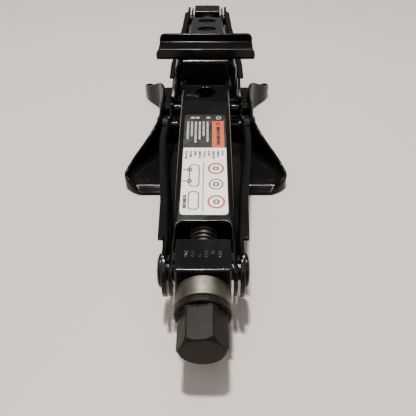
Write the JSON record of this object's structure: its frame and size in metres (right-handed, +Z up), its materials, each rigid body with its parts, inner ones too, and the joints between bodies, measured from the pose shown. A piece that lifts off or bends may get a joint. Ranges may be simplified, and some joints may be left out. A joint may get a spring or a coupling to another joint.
{
  "type": "scissor stabilizer jack",
  "caption": "Folded steel scissor jack: tray base with upturned walls, geared channel arms, a lead screw with a hexagon drive head, and a grooved saddle that rises under a chassis rail.",
  "frame": {"origin": "on the ground, under the middle of the base plate and midway between the base pins", "axes": "+Y along the lead screw from the hexagon head to its tail, +Z up, +X to the right of someone facing the hexagon head"},
  "size_m": [0.1192, 0.4254, 0.0815],
  "materials": {
    "black_paint": "gloss black coating",
    "dark_steel": "dark phosphate",
    "zinc_steel": "zinc plated",
    "oiled_steel": "oiled",
    "brass": "machined",
    "label": "satin film"
  },
  "bodies": {
    "base": {"base_plate": "black_paint", "base_pin_front": "black_paint", "base_pin_rear": "black_paint", "base_spacer_front_left": "black_paint", "base_spacer_front_right": "black_paint", "base_spacer_rear_left": "black_paint", "base_spacer_rear_right": "black_paint"},
    "front_lower": {"lower_arm_front": "black_paint"},
    "rear_lower": {"lower_arm_rear": "black_paint"},
    "front_upper": {"upper_arm_front": "black_paint", "label_plate": "label"},
    "rear_upper": {"upper_arm_rear": "black_paint"},
    "saddle": {"saddle_bracket": "black_paint", "saddle_tab_front": "black_paint", "saddle_tab_rear": "black_paint", "saddle_rest": "black_paint", "saddle_pin_front": "black_paint", "saddle_pin_rear": "black_paint", "saddle_washer_front_left": "black_paint", "saddle_washer_front_right": "black_paint", "saddle_washer_rear_left": "black_paint", "saddle_washer_rear_right": "black_paint"},
    "front_block": {"front_trunnion": "black_paint", "front_trunnion_pin_left": "black_paint", "front_trunnion_pin_right": "black_paint", "bearing_housing": "zinc_steel", "bearing_fixed_race": "oiled_steel", "bearing_ball_cage": "brass"},
    "rear_block": {"rear_trunnion": "black_paint", "rear_trunnion_pin_left": "black_paint", "rear_trunnion_pin_right": "black_paint", "screw_nut": "dark_steel"},
    "screw": {"lead_screw": "oiled_steel", "hex_drive_head": "dark_steel", "bearing_turning_race": "oiled_steel", "drive_washer": "brass", "screw_end_stop": "oiled_steel"}
  },
  "joints": [
    {"name": "fold", "type": "hinge", "parent": "base", "child": "front_lower", "pos_m": [0, -0.01286, 0.017], "axis": [-1, 0, 0], "range_deg": [0, 60]},
    {"name": "rear_fold", "type": "hinge", "parent": "base", "child": "rear_lower", "pos_m": [0, 0.01286, 0.017], "axis": [1, 0, 0], "range_deg": [0, 60]},
    {"name": "front_elbow", "type": "hinge", "parent": "front_lower", "child": "front_upper", "pos_m": [0, -0.18, 0.03401], "axis": [1, 0, 0], "range_deg": [0, 120]},
    {"name": "rear_elbow", "type": "hinge", "parent": "rear_lower", "child": "rear_upper", "pos_m": [0, 0.18, 0.03401], "axis": [-1, 0, 0], "range_deg": [0, 120]},
    {"name": "saddle_level", "type": "hinge", "parent": "front_upper", "child": "saddle", "pos_m": [0, -0.01286, 0.05101], "axis": [-1, 0, 0], "range_deg": [0, 60]},
    {"name": "front_block_level", "type": "hinge", "parent": "front_lower", "child": "front_block", "pos_m": [0, -0.18, 0.03401], "axis": [1, 0, 0], "range_deg": [0, 60]},
    {"name": "rear_block_level", "type": "hinge", "parent": "rear_lower", "child": "rear_block", "pos_m": [0, 0.18, 0.03401], "axis": [-1, 0, 0], "range_deg": [0, 60]},
    {"name": "screw_spin", "type": "hinge", "parent": "front_block", "child": "screw", "pos_m": [0, -0.18, 0.03401], "axis": [0, 1, 0], "continuous": true}
  ],
  "couplings": [
    {"joint": "rear_fold", "follows": "fold", "ratio": 1},
    {"joint": "front_elbow", "follows": "fold", "ratio": 2},
    {"joint": "rear_elbow", "follows": "fold", "ratio": 2},
    {"joint": "saddle_level", "follows": "fold", "ratio": 1},
    {"joint": "front_block_level", "follows": "fold", "ratio": 1},
    {"joint": "rear_block_level", "follows": "fold", "ratio": 1}
  ]
}
